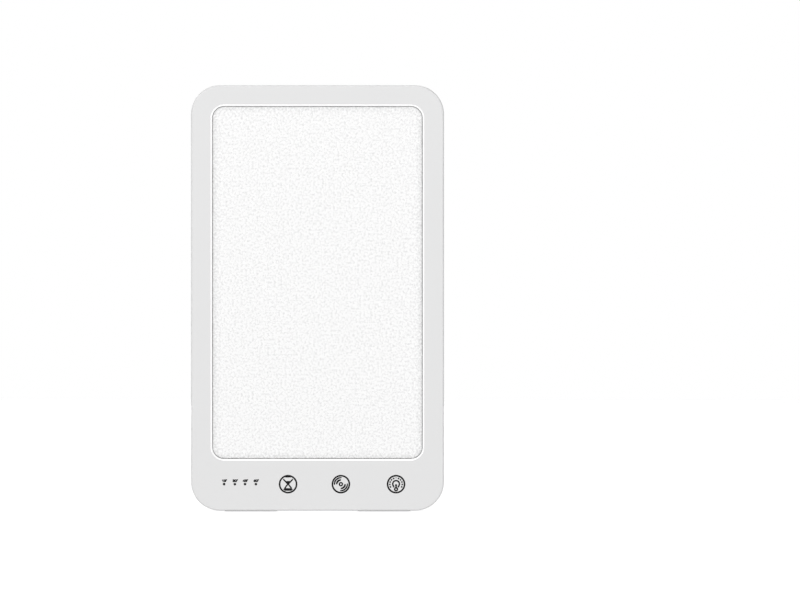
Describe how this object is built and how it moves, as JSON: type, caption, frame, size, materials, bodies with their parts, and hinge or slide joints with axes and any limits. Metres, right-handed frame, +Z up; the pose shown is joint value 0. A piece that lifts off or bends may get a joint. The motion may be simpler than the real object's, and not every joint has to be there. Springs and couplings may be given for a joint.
{
  "type": "light therapy lamp",
  "caption": "Tablet-shaped light therapy lamp: edge-lit opal panel, touch controls, and a friction-hinged fold-out leg with a press catch.",
  "frame": {"origin": "on the supporting surface, under the middle of the whole object's box", "axes": "+Z up along the tall side, +X to the right and -Y towards the user as the lit face is looked at"},
  "size_m": [0.152, 0.023, 0.256],
  "materials": {
    "housing": "fine satin moulded white ABS",
    "opal": "opal acrylic with a fine frosted front",
    "clear_acrylic": "polished clear acrylic",
    "smoked_acrylic": "dark smoked acrylic that lets the lamps show through",
    "white_film": "white reflector film",
    "foam": "closed-cell foam",
    "aluminium": "mill finish sheet",
    "steel": "zinc-plated steel",
    "board": "green solder mask",
    "led_board": "white solder mask",
    "led": "phosphor lens in a white case",
    "dark_component": "moulded epoxy",
    "connector": "natural nylon",
    "acetal": "white acetal",
    "lead": "silicone-covered lead",
    "well": "dark brown-black moulded plastic",
    "sleeve": "polished dark plastic",
    "rubber": "soft light grey rubber"
  },
  "bodies": {
    "root": {"front_bezel": "housing", "rear_cover": "housing", "diffuser_panel": "opal", "light_guide": "clear_acrylic", "reflector_sheet": "white_film", "diffuser_gasket": "foam", "backing_plate": "aluminium", "backing_screws": "steel", "led_strip_left": "led_board", "led_strip_right": "led_board", "led_packages": "led", "control_board": "board", "board_screws": "steel", "touch_pads": "foam", "indicator_leds": "led", "indicator_light_pipe": "smoked_acrylic", "control_chip": "dark_component", "driver_inductor": "dark_component", "bulk_capacitor": "aluminium", "led_connectors": "connector", "led_lead_left": "lead", "led_lead_right": "lead", "dc_jack_body": "dark_component", "dc_jack_pin": "steel", "dc_jack_contact": "steel", "hinge_well": "well", "hinge_sleeve": "sleeve", "hinge_axle": "steel", "friction_washers": "acetal", "foot_strips": "rubber"},
    "leg": {"leg_plate": "housing", "leg_end_caps": "housing", "leg_foot_pad": "rubber", "latch_pin": "steel", "latch_spring": "steel"},
    "latch": {"latch_tab": "housing"}
  },
  "joints": [
    {"name": "leg_hinge", "type": "hinge", "parent": "root", "child": "leg", "pos_m": [0, 0.0071, 0.14175], "axis": [1, 0, 0], "range_deg": [0, 45]},
    {"name": "latch_hinge", "type": "hinge", "parent": "leg", "child": "latch", "pos_m": [0, 0.0087, 0.0233], "axis": [-1, 0, 0], "range_deg": [0, 6], "stiffness_Nm_per_rad": 0.05, "springref_deg": -2.86, "deforming": ["latch_spring"]}
  ]
}
